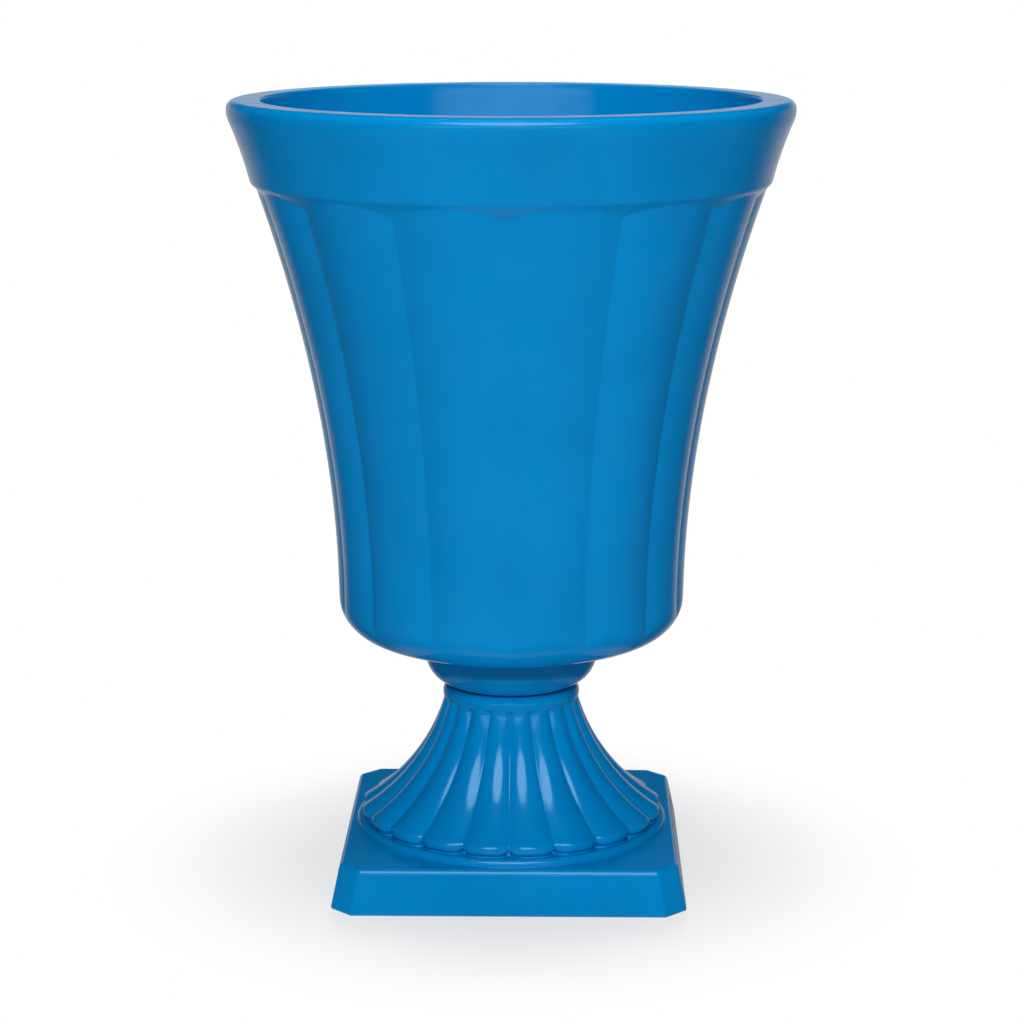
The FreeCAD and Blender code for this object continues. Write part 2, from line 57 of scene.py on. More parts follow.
MM = 0.001
FRONT = -math.pi / 2
WHITE = (1.0, 1.0, 1.0, 1.0)
BOWL_PLATE = 34.2 * MM
PEDESTAL_PLATE = 39.2 * MM
HOLE_CHAMFER = 0.35 * MM
HOLE_SIDES = 48
SECTOR_WELD = 0.01 * MM
FINE_WELD = 0.004 * MM


# ---- colours ----

def linear(hex_colour):
    """An sRGB hex colour as linear red, green and blue."""
    shares = [int(hex_colour[index:index + 2], 16) / 255 for index in (1, 3, 5)]
    return [share / 12.92 if share <= 0.04045 else ((share + 0.055) / 1.055) ** 2.4 for share in shares]


def opaque(colour):
    return (*colour, 1.0)


def tinted(colour, light):
    """A colour made lighter or darker, as one pour of pigment differs from the next."""
    return opaque([min(share * light, 1.0) for share in colour])


# ---- sizes and finishes that a user would change ----

def length(name, description, millimetres):
    return FloatProperty(
        name=name, description=description, default=millimetres * MM, min=0.0, unit="LENGTH",
        subtype="DISTANCE", precision=4,
    )


def colour(name, description, hex_colour):
    return FloatVectorProperty(
        name=name, description=description, default=linear(hex_colour), size=3, min=0.0, max=1.0,
        subtype="COLOR",
    )


class PlanterBowlSizes(bpy.types.PropertyGroup):
    rim_top: length("Rim top", "Floor to the rim's flat top", 560.0)
    rim_diameter: length("Rim diameter", "Outside the upright lip", 399.0)
    mouth_diameter: length("Mouth diameter", "Between the inner edges of the rim", 351.4)
    mouth_depth: length("Mouth depth", "Upright part of the mouth", 22.5)
    mouth_blend_depth: length("Mouth blend depth", "Rim to where the inside closes in on the mouth", 114.0)
    lip_height: length("Lip height", "Upright part of the rim", 9.0)
    rim_round: length("Rim round", "Outer edge of the flat top", 6.0)
    mouth_round: length("Mouth round", "Inner edge of the flat top", 1.7)
    mouth_taper: length("Mouth taper", "How far the mouth closes in over its depth", 1.5)
    band_height: length("Band height", "Rim to the skirt band's lower edge", 57.0)
    band_foot_diameter: length("Band foot diameter", "Skirt band at its lower edge", 367.5)
    band_hollow: length("Band hollow", "How far the band's flare sinks in", 0.8)
    band_flare_drop: length("Band flare drop", "Rounding from the flare into the lip", 7.0)
    shoulder_diameter: length("Shoulder diameter", "Flute crowns at the band", 363.6)
    belly_diameter: length("Belly diameter", "Flute crowns at the foot of the flare", 250.6)
    belly_level: length("Belly level", "Level of the foot of the flare", 204.0)
    flare_power: FloatProperty(
        name="Flare power", description="How late the flare opens", default=1.85, min=1.0, max=4.0
    )
    flutes: IntProperty(name="Flutes", description="Convex flutes round the bowl", default=14, min=3, max=60)
    shoulder_groove: length("Shoulder groove", "Groove depth at the band", 4.4)
    belly_groove: length("Belly groove", "Groove depth at the belly", 3.0)
    groove_root: length("Groove root", "Half width of the rounding in a groove", 0.9)
    bottom_level: length("Bottom level", "Underside of the round bottom", 172.8)
    bottom_round: length("Bottom round", "Round between the flutes and the underside", 33.0)
    wall: length("Wall", "Moulded wall", 4.0)
    boss_diameter: length("Boss diameter", "Widest part of the boss under the bowl", 125.4)
    boss_round: length("Boss round", "Round on the boss's lower half", 23.0)
    boss_foot: length("Boss foot", "Boss at its lower edge", 95.0)
    boss_level: length("Boss level", "Level of the boss's lower edge", 138.0)
    spigot_diameter: length("Spigot diameter", "Spigot that drops into the collar", 80.0)
    well_diameter: length("Well diameter", "Well inside the spigot", 70.0)


class PlanterPedestalSizes(bpy.types.PropertyGroup):
    top: length("Top", "Floor to the collar's top", 136.5)
    collar_diameter: length("Collar diameter", "Rounded collar", 99.6)
    collar_height: length("Collar height", "Rounded collar", 13.0)
    collar_round: length("Collar round", "Edges of the collar", 6.0)
    neck_diameter: length("Neck diameter", "Flute crowns under the collar", 99.4)
    nose_diameter: length("Nose diameter", "Flute crowns at the foot", 221.0)
    nose_level: length("Nose level", "Where the crowns turn down into their noses", 44.0)
    nose_round: length("Nose round", "Round of the flutes' lower ends", 7.0)
    nose_corner: length("Nose corner", "Round in plan at each side of a flute's lower end", 11.0)
    cone_hollow: length("Cone hollow", "How far the flare sinks in from straight", 9.3)
    flutes: IntProperty(name="Flutes", description="Convex flutes round the cone", default=20, min=3, max=80)
    neck_groove: length("Neck groove", "Groove depth under the collar", 2.6)
    nose_groove: length("Nose groove", "Groove depth at the noses", 5.4)
    groove_root: length("Groove root", "Half width of the rounding in a groove", 0.55)
    bead_diameter: length("Bead diameter", "Outside the bead on the plinth", 228.2)
    bead_thickness: length("Bead thickness", "The bead's own section", 8.0)
    plinth_top_width: length("Plinth top width", "Across the flats at the top", 238.0)
    plinth_width: length("Plinth width", "Across the flats at the floor", 251.4)
    plinth_height: length("Plinth height", "Floor to the plinth's top", 32.0)
    plinth_corner: length("Plinth corner", "Cut taken off each side at a corner", 15.0)
    plinth_arris: length("Plinth arris", "Round of the upright arrises", 4.2)
    plinth_edge: length("Plinth edge", "Round of the top edge", 3.5)
    recess_diameter: length("Recess diameter", "Seat for the bowl's spigot", 81.0)
    wall: length("Wall", "Moulded wall", 4.0)


class PlanterHoleSizes(bpy.types.PropertyGroup):
    web_top: length("Web top", "Level of the seat that the spigot stands on", 131.0)
    web_thickness: length("Web thickness", "Web across the pedestal's neck", 6.0)
    bolt_hole: length("Bolt hole", "Diameter of the hole for the centre bolt", 8.4)
    drain_circle: length("Drain circle", "Diameter through the drain holes' centres", 53.0)
    drain_hole: length("Drain hole", "Diameter of a drain hole in the bowl", 9.0)
    drain_way: length("Drain way", "Diameter of the wider hole in the web", 22.0)
    drains: IntProperty(name="Drains", description="Drain holes", default=2, min=1, max=6)


class PlanterFinishes(bpy.types.PropertyGroup):
    polyethylene: colour("Polyethylene", "Pigment of the moulded planter", "#007FC0")
    zinc: colour("Zinc", "Bright zinc plating", "#B9BCC2")
    rubber: colour("Rubber", "Seals and plugs", "#26272A")
    floor: colour("Floor", "Plain studio floor", "#DADADA")


# ---- ways of making nodes and meshes ----

def add_node(tree, kind, values=None, links=None, **settings):
    """Add one node: its own settings, numbers for its sockets, and the sockets that feed it."""
    node = tree.nodes.new(kind)
    for name, value in settings.items():
        setattr(node, name, value)
    for socket, value in (values or {}).items():
        node.inputs[socket].default_value = value
    for socket, source in (links or {}).items():
        tree.links.new(source, node.inputs[socket])
    return node


def new_object(context, name, mesh):
    piece = bpy.data.objects.new(name, mesh)
    context.scene.collection.objects.link(piece)
    return piece


def mesh_from(name, vertices, faces):
    mesh = bpy.data.meshes.new(name)
    mesh.from_pydata(vertices, [], faces)
    mesh.update()
    return mesh


def round_repeat_tree():
    """Node group that sets copies of one sector round the Z axis and welds them into one wall."""
    tree = bpy.data.node_groups.new("Round Repeat", "GeometryNodeTree")
    face = tree.interface
    face.new_socket("Sector", in_out="INPUT", socket_type="NodeSocketGeometry")
    face.new_socket("Count", in_out="INPUT", socket_type="NodeSocketInt")
    face.new_socket("Weld Distance", in_out="INPUT", socket_type="NodeSocketFloat")
    face.new_socket("Material", in_out="INPUT", socket_type="NodeSocketMaterial")
    face.new_socket("Wall", in_out="OUTPUT", socket_type="NodeSocketGeometry")
    given = add_node(tree, "NodeGroupInput")
    places = add_node(tree, "GeometryNodePoints", links={"Count": given.outputs["Count"]})
    step = add_node(tree, "ShaderNodeMath", {0: math.tau}, {1: given.outputs["Count"]}, operation="DIVIDE")
    number = add_node(tree, "GeometryNodeInputIndex")
    turn = add_node(
        tree, "ShaderNodeMath", links={0: number.outputs["Index"], 1: step.outputs["Value"]},
        operation="MULTIPLY",
    )
    angles = add_node(tree, "ShaderNodeCombineXYZ", links={"Z": turn.outputs["Value"]})
    rotation = add_node(tree, "FunctionNodeEulerToRotation", links={"Euler": angles.outputs["Vector"]})
    copies = add_node(tree, "GeometryNodeInstanceOnPoints", links={
        "Points": places.outputs["Points"],
        "Instance": given.outputs["Sector"],
        "Rotation": rotation.outputs["Rotation"],
    })
    real = add_node(tree, "GeometryNodeRealizeInstances", links={"Geometry": copies.outputs["Instances"]})
    welded = add_node(tree, "GeometryNodeMergeByDistance", links={
        "Geometry": real.outputs["Geometry"],
        "Distance": given.outputs["Weld Distance"],
    })
    smooth = add_node(tree, "GeometryNodeSetShadeSmooth", links={"Geometry": welded.outputs["Geometry"]})
    finish = add_node(tree, "GeometryNodeSetMaterial", links={
        "Geometry": smooth.outputs["Geometry"],
        "Material": given.outputs["Material"],
    })
    add_node(tree, "NodeGroupOutput", links={"Wall": finish.outputs["Geometry"]})
    return tree


def repeated_round(context, name, sector, count, material):
    """The sector's mesh repeated round the axis, as one plain mesh with no modifier left."""
    source = new_object(context, name + "_sector", sector)
    tree = round_repeat_tree()
    modifier = source.modifiers.new("Round Repeat", "NODES")
    modifier.node_group = tree
    sockets = {item.name: item.identifier for item in tree.interface.items_tree if item.in_out == "INPUT"}
    modifier[sockets["Count"]] = count
    modifier[sockets["Weld Distance"]] = SECTOR_WELD
    modifier[sockets["Material"]] = material
    context.view_layer.update()
    evaluated = source.evaluated_get(context.evaluated_depsgraph_get())
    mesh = bpy.data.meshes.new_from_object(evaluated)
    source.modifiers.remove(modifier)
    bpy.data.objects.remove(source)
    mesh.name = name
    return mesh


def sector_mesh(name, sections, angles):
    """One grid of quads for each section, which gives its (radius, level) points at an angle."""
    vertices = []
    faces = []
    for section in sections:
        start = len(vertices)
        for angle in angles:
            points = section(angle)
            turn = FRONT + angle
            vertices += [(r * math.cos(turn), r * math.sin(turn), z) for r, z in points]
        rows = len(points)
        for column in range(len(angles) - 1):
            for row in range(rows - 1):
                corner = start + column * rows + row
                faces.append((corner, corner + rows, corner + rows + 1, corner + 1))
    return mesh_from(name, vertices, faces)


def flute_angles(step, offsets):
    """Angles over one flute: close together at the grooves and evenly spread between them."""
    half = [math.radians(offset) for offset in offsets] + [step / 2]
    return half + [step - angle for angle in reversed(half[:-1])]


# ---- section curves ----

def bend(start, corner, end, steps):
    """Points of a soft bend that leaves its start and reaches its end along the lines through the corner."""
    points = []
    for index in range(steps + 1):
        share = index / steps
        points.append(tuple(
            a * (1 - share) ** 2 + 2 * b * share * (1 - share) + c * share ** 2
            for a, b, c in zip(start, corner, end)
        ))
    return points


def toward(point, target, distance):
    run = math.dist(point, target)
    return tuple(a + (b - a) * distance / run for a, b in zip(point, target))


def softened(points, rounds):
    """A run of section points with some of its corners softened: rounds gives {index: (reach, steps)}."""
    result = []
    for index, point in enumerate(points):
        if index in rounds:
            reach, steps = rounds[index]
            before = toward(point, points[index - 1], reach)
            after = toward(point, points[index + 1], reach)
            result += bend(before, point, after, steps)
        else:
            result.append(point)
    return result


def arc(centre, radius, first, last, steps):
    """Points of a circular arc in the section, angles in degrees from outwards, turning up."""
    turns = [math.radians(first + (last - first) * index / steps) for index in range(steps + 1)]
    return [(centre[0] + radius * math.cos(turn), centre[1] + radius * math.sin(turn)) for turn in turns]


def sagging(low, high, hollow, steps):
    """Points of a curve that sinks towards the axis from the line between two points, without its ends."""
    run = (high[0] - low[0], high[1] - low[1])
    size = math.hypot(*run)
    inward = (-abs(run[1]) / size, run[0] * math.copysign(1.0, run[1]) / size)
    points = []
    for index in range(1, steps):
        share = index / steps
        depth = hollow * 4 * share * (1 - share)
        points.append(tuple(a + b * share + c * depth for a, b, c in zip(low, run, inward)))
    return points


def lesser(a, b, blend):
    """The lesser of two lengths, with the change from one to the other blended."""
    reach = max(blend - abs(a - b), 0.0) / blend
    return min(a, b) - reach * reach * blend / 4


def greater(a, b, blend):
    return -lesser(-a, -b, blend)


def flute_radius(crown, groove, half_step, angle, root):
    """Plan radius at an angle of a convex flute between two grooves whose roots are slightly rounded."""
    valley = crown - groove
    centre = (crown ** 2 - valley ** 2) / (2 * (crown - valley * math.cos(half_step)))
    gap = (half_step - abs(angle - half_step)) * crown
    if gap < root:
        gap = (gap ** 2 + root ** 2) / (2 * root)
    turn = half_step - gap / crown
    return centre * math.cos(turn) + math.sqrt((crown - centre) ** 2 - (centre * math.sin(turn)) ** 2)


# ---- holes and flat fills ----

def ring_of(bm, radius, level, count, centre=(0.0, 0.0)):
    """Vertices of one level ring."""
    turns = [math.tau * index / count for index in range(count)]
    return [
        bm.verts.new((centre[0] + radius * math.cos(turn), centre[1] + radius * math.sin(turn), level))
        for turn in turns
    ]


def bridge(bm, low, high):
    """Quads between two closed rings with as many vertices each."""
    for index in range(len(low)):
        following = (index + 1) % len(low)
        bm.faces.new((low[index], low[following], high[following], high[index]))


def loop_edges(bm, ring):
    """The edges round a closed ring of vertices, made where they are missing."""
    pairs = zip(ring, ring[1:] + ring[:1])
    return [bm.edges.get(pair) or bm.edges.new(pair) for pair in pairs]


def open_ring(bm, radius, level):
    """Vertices of the open edge loop near a radius and a level, in order round the axis."""
    found = set()
    for edge in bm.edges:
        if edge.is_boundary:
            for vertex in edge.verts:
                at = vertex.co
                if abs(at.z - level) < 0.02 * MM and abs(math.hypot(at.x, at.y) - radius) < 0.05 * MM:
                    found.add(vertex)
    if not found:
        raise RuntimeError(f"no open ring at radius {radius:.4f} and level {level:.4f}")
    return sorted(found, key=angle_round)


def fill_between(bm, rings):
    """Flat fill inside the first ring and outside the others."""
    edges = [edge for ring in rings for edge in loop_edges(bm, ring)]
    bmesh.ops.triangle_fill(bm, use_beauty=True, use_dissolve=False, edges=edges, normal=(0.0, 0.0, 1.0))


def angle_round(vertex):
    return math.atan2(vertex.co.y, vertex.co.x)


def stitch(bm, outer, inner):
    """Flat triangles between two rings round the axis, worked round in order of angle."""
    rings = [sorted(ring, key=angle_round) for ring in (outer, inner)]
    angles = [[angle_round(vertex) for vertex in ring] for ring in rings]
    for turns in angles:
        turns.append(turns[0] + math.tau)
    at = [0, 0]
    while at[0] < len(rings[0]) or at[1] < len(rings[1]):
        nexts = [turns[place + 1] if place + 1 < len(turns) else math.inf for turns, place in zip(angles, at)]
        moving = 0 if nexts[0] <= nexts[1] else 1
        corners = [ring[place % len(ring)] for ring, place in zip(rings, at)]
        at[moving] += 1
        corners.append(rings[moving][at[moving] % len(rings[moving])])
        bm.faces.new(corners)


def hole_rings(bm, centre, radius, top, bottom, chamfer, count):
    """The wall of one hole with a small chamfer at both ends. Returns its top ring and its bottom ring."""
    levels = (
        (radius + chamfer * 1.3, top), (radius + chamfer, top), (radius + chamfer * 0.3, top - chamfer * 0.3),
        (radius, top - chamfer), (radius, bottom + chamfer), (radius + chamfer * 0.3, bottom + chamfer * 0.3),
        (radius + chamfer, bottom), (radius + chamfer * 1.3, bottom),
    )
    rings = [ring_of(bm, reach, level, count, centre) for reach, level in levels]
    for low, high in zip(rings, rings[1:]):
        bridge(bm, low, high)
    return rings[0], rings[-1]


def drilled_plate(bm, outer_radius, top, bottom, holes, drain_diameter):
    """Close a wall's middle with a flat plate that has the bolt hole and the drain holes in it."""
    tops = [open_ring(bm, outer_radius, top)]
    bottoms = [open_ring(bm, outer_radius, bottom)]
    centres = [((0.0, 0.0), holes.bolt_hole / 2)]
    for index in range(holes.drains):
        turn = math.tau * index / holes.drains
        reach = holes.drain_circle / 2
        centres.append(((reach * math.cos(turn), reach * math.sin(turn)), drain_diameter / 2))
    for centre, radius in centres:
        high, low = hole_rings(bm, centre, radius, top, bottom, HOLE_CHAMFER, HOLE_SIDES)
        tops.append(high)
        bottoms.append(low)
    fill_between(bm, tops)
    fill_between(bm, bottoms)


def finished(bm, mesh, material):
    """Weld, turn every face outwards, shade smooth and write the mesh back in its one finish."""
    bmesh.ops.remove_doubles(bm, verts=bm.verts, dist=FINE_WELD)
    bmesh.ops.recalc_face_normals(bm, faces=bm.faces)
    open_edges = sum(1 for edge in bm.edges if not edge.is_manifold)
    for face in bm.faces:
        face.smooth = True
        face.material_index = 0
    mesh.materials.clear()
    mesh.materials.append(material)
    bm.to_mesh(mesh)
    bm.free()
    if open_edges:
        raise RuntimeError(f"{mesh.name} has {open_edges} open or doubled edges")
    mesh.update()
    return mesh


# ---- the bowl's section ----

def bowl_section_at(sizes, holes):
    """A function of the angle that gives the bowl's whole closed section, from underside to well floor."""
    band_foot = sizes.rim_top - sizes.band_height
    half_step = math.pi / sizes.flutes

    def share_at(level):
        return max((level - sizes.belly_level) / (band_foot - sizes.belly_level), 0.0)

    def crown(level):
        spread = (sizes.shoulder_diameter - sizes.belly_diameter) / 2
        return sizes.belly_diameter / 2 + spread * share_at(level) ** sizes.flare_power

    def groove(level):
        return sizes.belly_groove + (sizes.shoulder_groove - sizes.belly_groove) * share_at(level)

    def outside(level, angle):
        return flute_radius(crown(level), groove(level), half_step, angle, sizes.groove_root)

    def inside(level):
        return crown(level) - groove(level) - sizes.wall

    def ledge_level(angle):
        """Level at which a flute runs into the 45 degree ledge under the skirt band."""
        low, high = band_foot - 18 * MM, band_foot
        for _ in range(30):
            middle = (low + high) / 2
            if outside(middle, angle) > sizes.band_foot_diameter / 2 - (band_foot - middle):
                low = middle
            else:
                high = middle
        return low

    bottom_centre = (
        sizes.belly_diameter / 2 + 0.5 * MM - sizes.bottom_round, sizes.bottom_level + sizes.bottom_round
    )
    boss_centre_x = sizes.boss_diameter / 2 - sizes.boss_round
    boss_rise = math.sqrt(sizes.boss_round ** 2 - (sizes.boss_foot / 2 - boss_centre_x) ** 2)
    boss_centre = (boss_centre_x, sizes.boss_level + boss_rise)
    web_top = holes.web_top
    spigot = sizes.spigot_diameter / 2

    foot_turn = math.degrees(math.asin(boss_rise / sizes.boss_round))
    boss_arc = arc(boss_centre, sizes.boss_round, -foot_turn, 0, 10)
    underside = softened(
        [
            (BOWL_PLATE, web_top), (BOWL_PLATE + 0.4 * MM, web_top), (spigot, web_top),
            (spigot, sizes.boss_level), (sizes.boss_foot / 2 - 3 * MM, sizes.boss_level),
            boss_arc[0], boss_arc[1],
        ],
        {2: (1.0 * MM, 4), 3: (0.6 * MM, 2), 5: (0.9 * MM, 3)},
    ) + boss_arc[2:]
    boss_top = softened(
        [
            boss_arc[-1], (sizes.boss_diameter / 2, boss_centre[1] + 5 * MM),
            (sizes.boss_diameter / 2, sizes.bottom_level),
            (sizes.boss_diameter / 2 + 8 * MM, sizes.bottom_level),
            (bottom_centre[0] - 8 * MM, sizes.bottom_level),
        ],
        {2: (2.4 * MM, 5)},
    )[1:]

    rim = sizes.rim_diameter / 2
    foot = (sizes.band_foot_diameter / 2, band_foot)
    lip_foot = sizes.rim_top - sizes.lip_height
    lean = (rim - foot[0]) / (lip_foot - band_foot)
    flare_top = (rim - lean * sizes.band_flare_drop, lip_foot - sizes.band_flare_drop)
    flare = sagging(foot, flare_top, sizes.band_hollow, 9)
    lip = bend(flare_top, (rim, lip_foot - 2 * MM), (rim, lip_foot + 1.5 * MM), 8)
    rim_centre = (rim - sizes.rim_round, sizes.rim_top - sizes.rim_round)
    mouth = sizes.mouth_diameter / 2
    land = (rim_centre[0] - mouth) / 4
    top = arc(rim_centre, sizes.rim_round, 0, 90, 9) + [
        (rim_centre[0] - land, sizes.rim_top), (mouth + 2 * land, sizes.rim_top),
        (mouth + land, sizes.rim_top),
    ]

    floor = sizes.bottom_level + sizes.wall
    inner_round = sizes.bottom_round - sizes.wall
    inner_centre = (inside(sizes.belly_level) - inner_round, floor + inner_round)
    blend_level = sizes.rim_top - sizes.mouth_blend_depth
    knots = [inner_centre[1] + (blend_level - inner_centre[1]) * index / 4 for index in range(5)]
    knots.append(sizes.rim_top - sizes.mouth_depth)
    radii = [inside(level) for level in knots[:-1]] + [mouth - sizes.mouth_taper]
    slope = sizes.mouth_taper / sizes.mouth_depth
    wall_curve = smooth_curve(knots, radii, slope)
    levels = [knots[-1] - (knots[-1] - knots[-2]) * index / 12 for index in range(12)]
    levels += [knots[-2] - (knots[-2] - knots[0]) * index / 26 for index in range(26)]
    inner_wall = [(wall_curve(level), level) for level in levels]
    inner_floor = arc(inner_centre, inner_round, 0, -90, 11) + [
        ((inner_centre[0] * 2 + sizes.boss_diameter / 2) / 3, floor)
    ]
    boss_inner = sizes.boss_round - sizes.wall
    boss_floor = sizes.boss_level + sizes.wall
    fall = math.degrees(math.asin((boss_centre[1] - boss_floor) / boss_inner))
    boss_wall = arc(boss_centre, boss_inner, 0, -fall, 7)
    well = sizes.well_diameter / 2
    well_floor = web_top + sizes.wall
    well_path = softened(
        [inner_floor[-1], (boss_wall[0][0], floor), boss_wall[0]]
        + boss_wall[1:]
        + [(well + 4 * MM, boss_floor), (well, boss_floor), (well, well_floor)]
        + [(BOWL_PLATE + 0.3 * MM, well_floor), (BOWL_PLATE, well_floor)],
        {1: (2.2 * MM, 5), len(boss_wall) + 3: (0.9 * MM, 3), len(boss_wall) + 4: (0.35 * MM, 2)},
    )[1:]

    mouth_wall = [(mouth - slope * depth, sizes.rim_top - depth) for depth in (8 * MM, 16 * MM)]

    def section(angle):
        bottom = []
        for r, z in arc(bottom_centre, sizes.bottom_round, -90, 0, 22):
            bottom.append((lesser(r, outside(z, angle), 1.6 * MM), z))
        meets = ledge_level(angle)
        first = bottom_centre[1]
        rows = 46
        last = meets - 1.0 * MM
        wall = [first + (last - first) * index / rows for index in range(1, rows)]
        flute = [(outside(level, angle), level) for level in wall]
        meeting = (outside(meets, angle), meets)
        below = (outside(last, angle), last)
        ledge = bend(below, meeting, toward(meeting, foot, 1.0 * MM), 4)
        edge = bend(toward(foot, meeting, 1.3 * MM), foot, toward(foot, flare[0], 1.6 * MM), 5)
        mouth_edge = bend(
            (mouth + sizes.mouth_round, sizes.rim_top), (mouth, sizes.rim_top),
            (mouth - slope * sizes.mouth_round, sizes.rim_top - sizes.mouth_round), 6
        )
        return (
            underside + boss_top + bottom + flute + ledge + edge + flare + lip
            + top + mouth_edge + mouth_wall
            + inner_wall + inner_floor + well_path
        )

    return section


def smooth_curve(knots, values, last_slope):
    """A curve through knots with no sudden bend, upright at the low end and at a slope at the high end."""
    count = len(knots)
    matrix = np.zeros((count, count))
    right = np.zeros(count)
    matrix[0, 0] = 1.0
    matrix[-1, -1] = 1.0
    right[-1] = last_slope
    for index in range(1, count - 1):
        before = knots[index] - knots[index - 1]
        after = knots[index + 1] - knots[index]
        matrix[index, index - 1] = after
        matrix[index, index] = 2 * (before + after)
        matrix[index, index + 1] = before
        rise_before = (values[index] - values[index - 1]) / before
        rise_after = (values[index + 1] - values[index]) / after
        right[index] = 3 * (rise_before * after + rise_after * before)
    slopes = np.linalg.solve(matrix, right)

    def value(level):
        index = min(max(int(np.searchsorted(knots, level)) - 1, 0), count - 2)
        span = knots[index + 1] - knots[index]
        share = (level - knots[index]) / span
        return float(
            values[index] * (1 + 2 * share) * (1 - share) ** 2
            + slopes[index] * span * share * (1 - share) ** 2
            + values[index + 1] * share ** 2 * (3 - 2 * share)
            + slopes[index + 1] * span * share ** 2 * (share - 1)
        )

    return value


# ---- the pedestal's sections ----

def pedestal_sections_at(sizes, holes):
    """Two functions of the angle: the outside from web to plinth, and the inside from plinth to web."""
    half_step = math.pi / sizes.flutes
    neck_level = sizes.top - sizes.collar_height
    head = (sizes.neck_diameter / 2, neck_level)
    nose = (sizes.nose_diameter / 2, sizes.nose_level)
    run = (nose[0] - head[0], nose[1] - head[1])
    chord = math.hypot(*run)
    radius = ((chord / 2) ** 2 + sizes.cone_hollow ** 2) / (2 * sizes.cone_hollow)
    outward = (-run[1] / chord, run[0] / chord)
    centre = tuple((a + b) / 2 + c * (radius - sizes.cone_hollow) for a, b, c in zip(head, nose, outward))

    def crown(level):
        reach = min(max(level, nose[1]), head[1])
        return centre[0] - math.sqrt(radius ** 2 - (reach - centre[1]) ** 2)

    def outside(level, angle):
        share = (crown(level) - head[0]) / (nose[0] - head[0])
        groove = sizes.neck_groove + (sizes.nose_groove - sizes.neck_groove) * share
        root = sizes.groove_root * (1 + share)
        top_ease = 0.07 / MM * max(level - neck_level - 1.5 * MM, 0.0) ** 2
        return flute_radius(crown(level), groove, half_step, angle, root) - top_ease

    recess = sizes.recess_diameter / 2
    collar_out = sizes.collar_diameter / 2
    edge = sizes.collar_round
    upper = (collar_out - edge, sizes.top - edge)
    lower = (collar_out - edge, neck_level + edge)
    seat = softened(
        [
            (PEDESTAL_PLATE, holes.web_top), (PEDESTAL_PLATE + 0.4 * MM, holes.web_top),
            (recess, holes.web_top), (recess, sizes.top), (upper[0], sizes.top),
        ],
        {2: (0.5 * MM, 2), 3: (0.7 * MM, 3)},
    ) + arc(upper, edge, 90, 0, 9)[1:]

    def collar(level):
        if level >= lower[1]:
            return collar_out
        bulge = math.sqrt(max(edge ** 2 - (lower[1] - level) ** 2, 0.0))
        return lower[0] + bulge - 3 * max(neck_level - level, 0.0)

    collar_levels = [lower[1] - 0.4 * MM * index for index in range(24)]
    first = collar_levels[-1] - 1.0 * MM
    start_turn = math.asin((centre[1] - first) / radius)
    end_turn = math.asin((centre[1] - nose[1]) / radius)
    turns = [start_turn + (end_turn - start_turn) * index / 34 for index in range(35)]
    cone_levels = [centre[1] - radius * math.sin(turn) for turn in turns]

    tube = sizes.bead_thickness / 2
    bead = (sizes.bead_diameter / 2 - tube, sizes.plinth_height + 1.0 * MM)
    disc = bead[1] + tube - 1.0 * MM
    nose_form = (nose[0] + 0.5 * MM - sizes.nose_round, nose[1])
    bead_foot = (bead[0] + tube, sizes.plinth_height)
    bead_end = bead_foot[0] + 1.15 * MM
    bead_arc = arc(bead, tube, 114, 4, 13)
    valley = (bead_arc[0][0] - 0.7 * MM, disc + 0.45 * MM)
    foot_path = softened(
        [bead_arc[-1], bead_foot, (bead_foot[0] + 0.95 * MM, sizes.plinth_height)], {1: (0.55 * MM, 4)}
    )[1:] + [(bead_end, sizes.plinth_height)]

    def outer_section(angle):
        collar_rows = [(greater(collar(z), outside(z, angle), 0.7 * MM), z) for z in collar_levels]
        cone_rows = [(outside(z, angle), z) for z in cone_levels]
        gap = (half_step - abs(angle - half_step)) * nose[0]
        short = max(sizes.nose_corner - gap, 0.0)
        setback = sizes.nose_corner - math.sqrt(sizes.nose_corner ** 2 - short ** 2)
        nose_rows = []
        for r, z in arc(nose_form, sizes.nose_round, -6, -66, 12):
            drop = min(1.5 * (nose_form[1] - z) / sizes.nose_round, 1.0)
            nose_rows.append((lesser(r - setback * drop, outside(z, angle), 1.2 * MM), z))
        end = nose_rows[-1]
        foot = (min(end[0] + 0.4 * MM, valley[0] - 0.2 * MM), disc + 0.4 * MM)
        fillet = softened([end, foot, valley, bead_arc[0]], {1: (0.6 * MM, 3)})[1:-1]
        return seat + collar_rows + cone_rows + nose_rows + fillet + bead_arc + foot_path

    wall = sizes.wall
    neck_in = head[0] - sizes.neck_groove - wall
    flare_in = nose[0] - sizes.nose_groove - wall
    hollow_end = flare_in + 1.1 * MM
    plate = sizes.plinth_height - wall
    web_bottom = holes.web_top - holes.web_thickness
    inner_head = (neck_in, web_bottom)
    inner_foot = (flare_in, nose[1])
    sides = sagging(inner_head, inner_foot, sizes.cone_hollow, 20)
    hollow = softened(
        [(hollow_end, plate), (flare_in + 0.9 * MM, plate), (flare_in, plate), inner_foot],
        {2: (0.6 * MM, 3)},
    ) + list(reversed(sides))
    hollow += softened(
        [sides[0], inner_head, (PEDESTAL_PLATE + 0.4 * MM, web_bottom), (PEDESTAL_PLATE, web_bottom)],
        {1: (1.2 * MM, 3)},
    )[1:]

    def inner_section(angle):
        return hollow

    return outer_section, inner_section, bead_end, hollow_end, plate


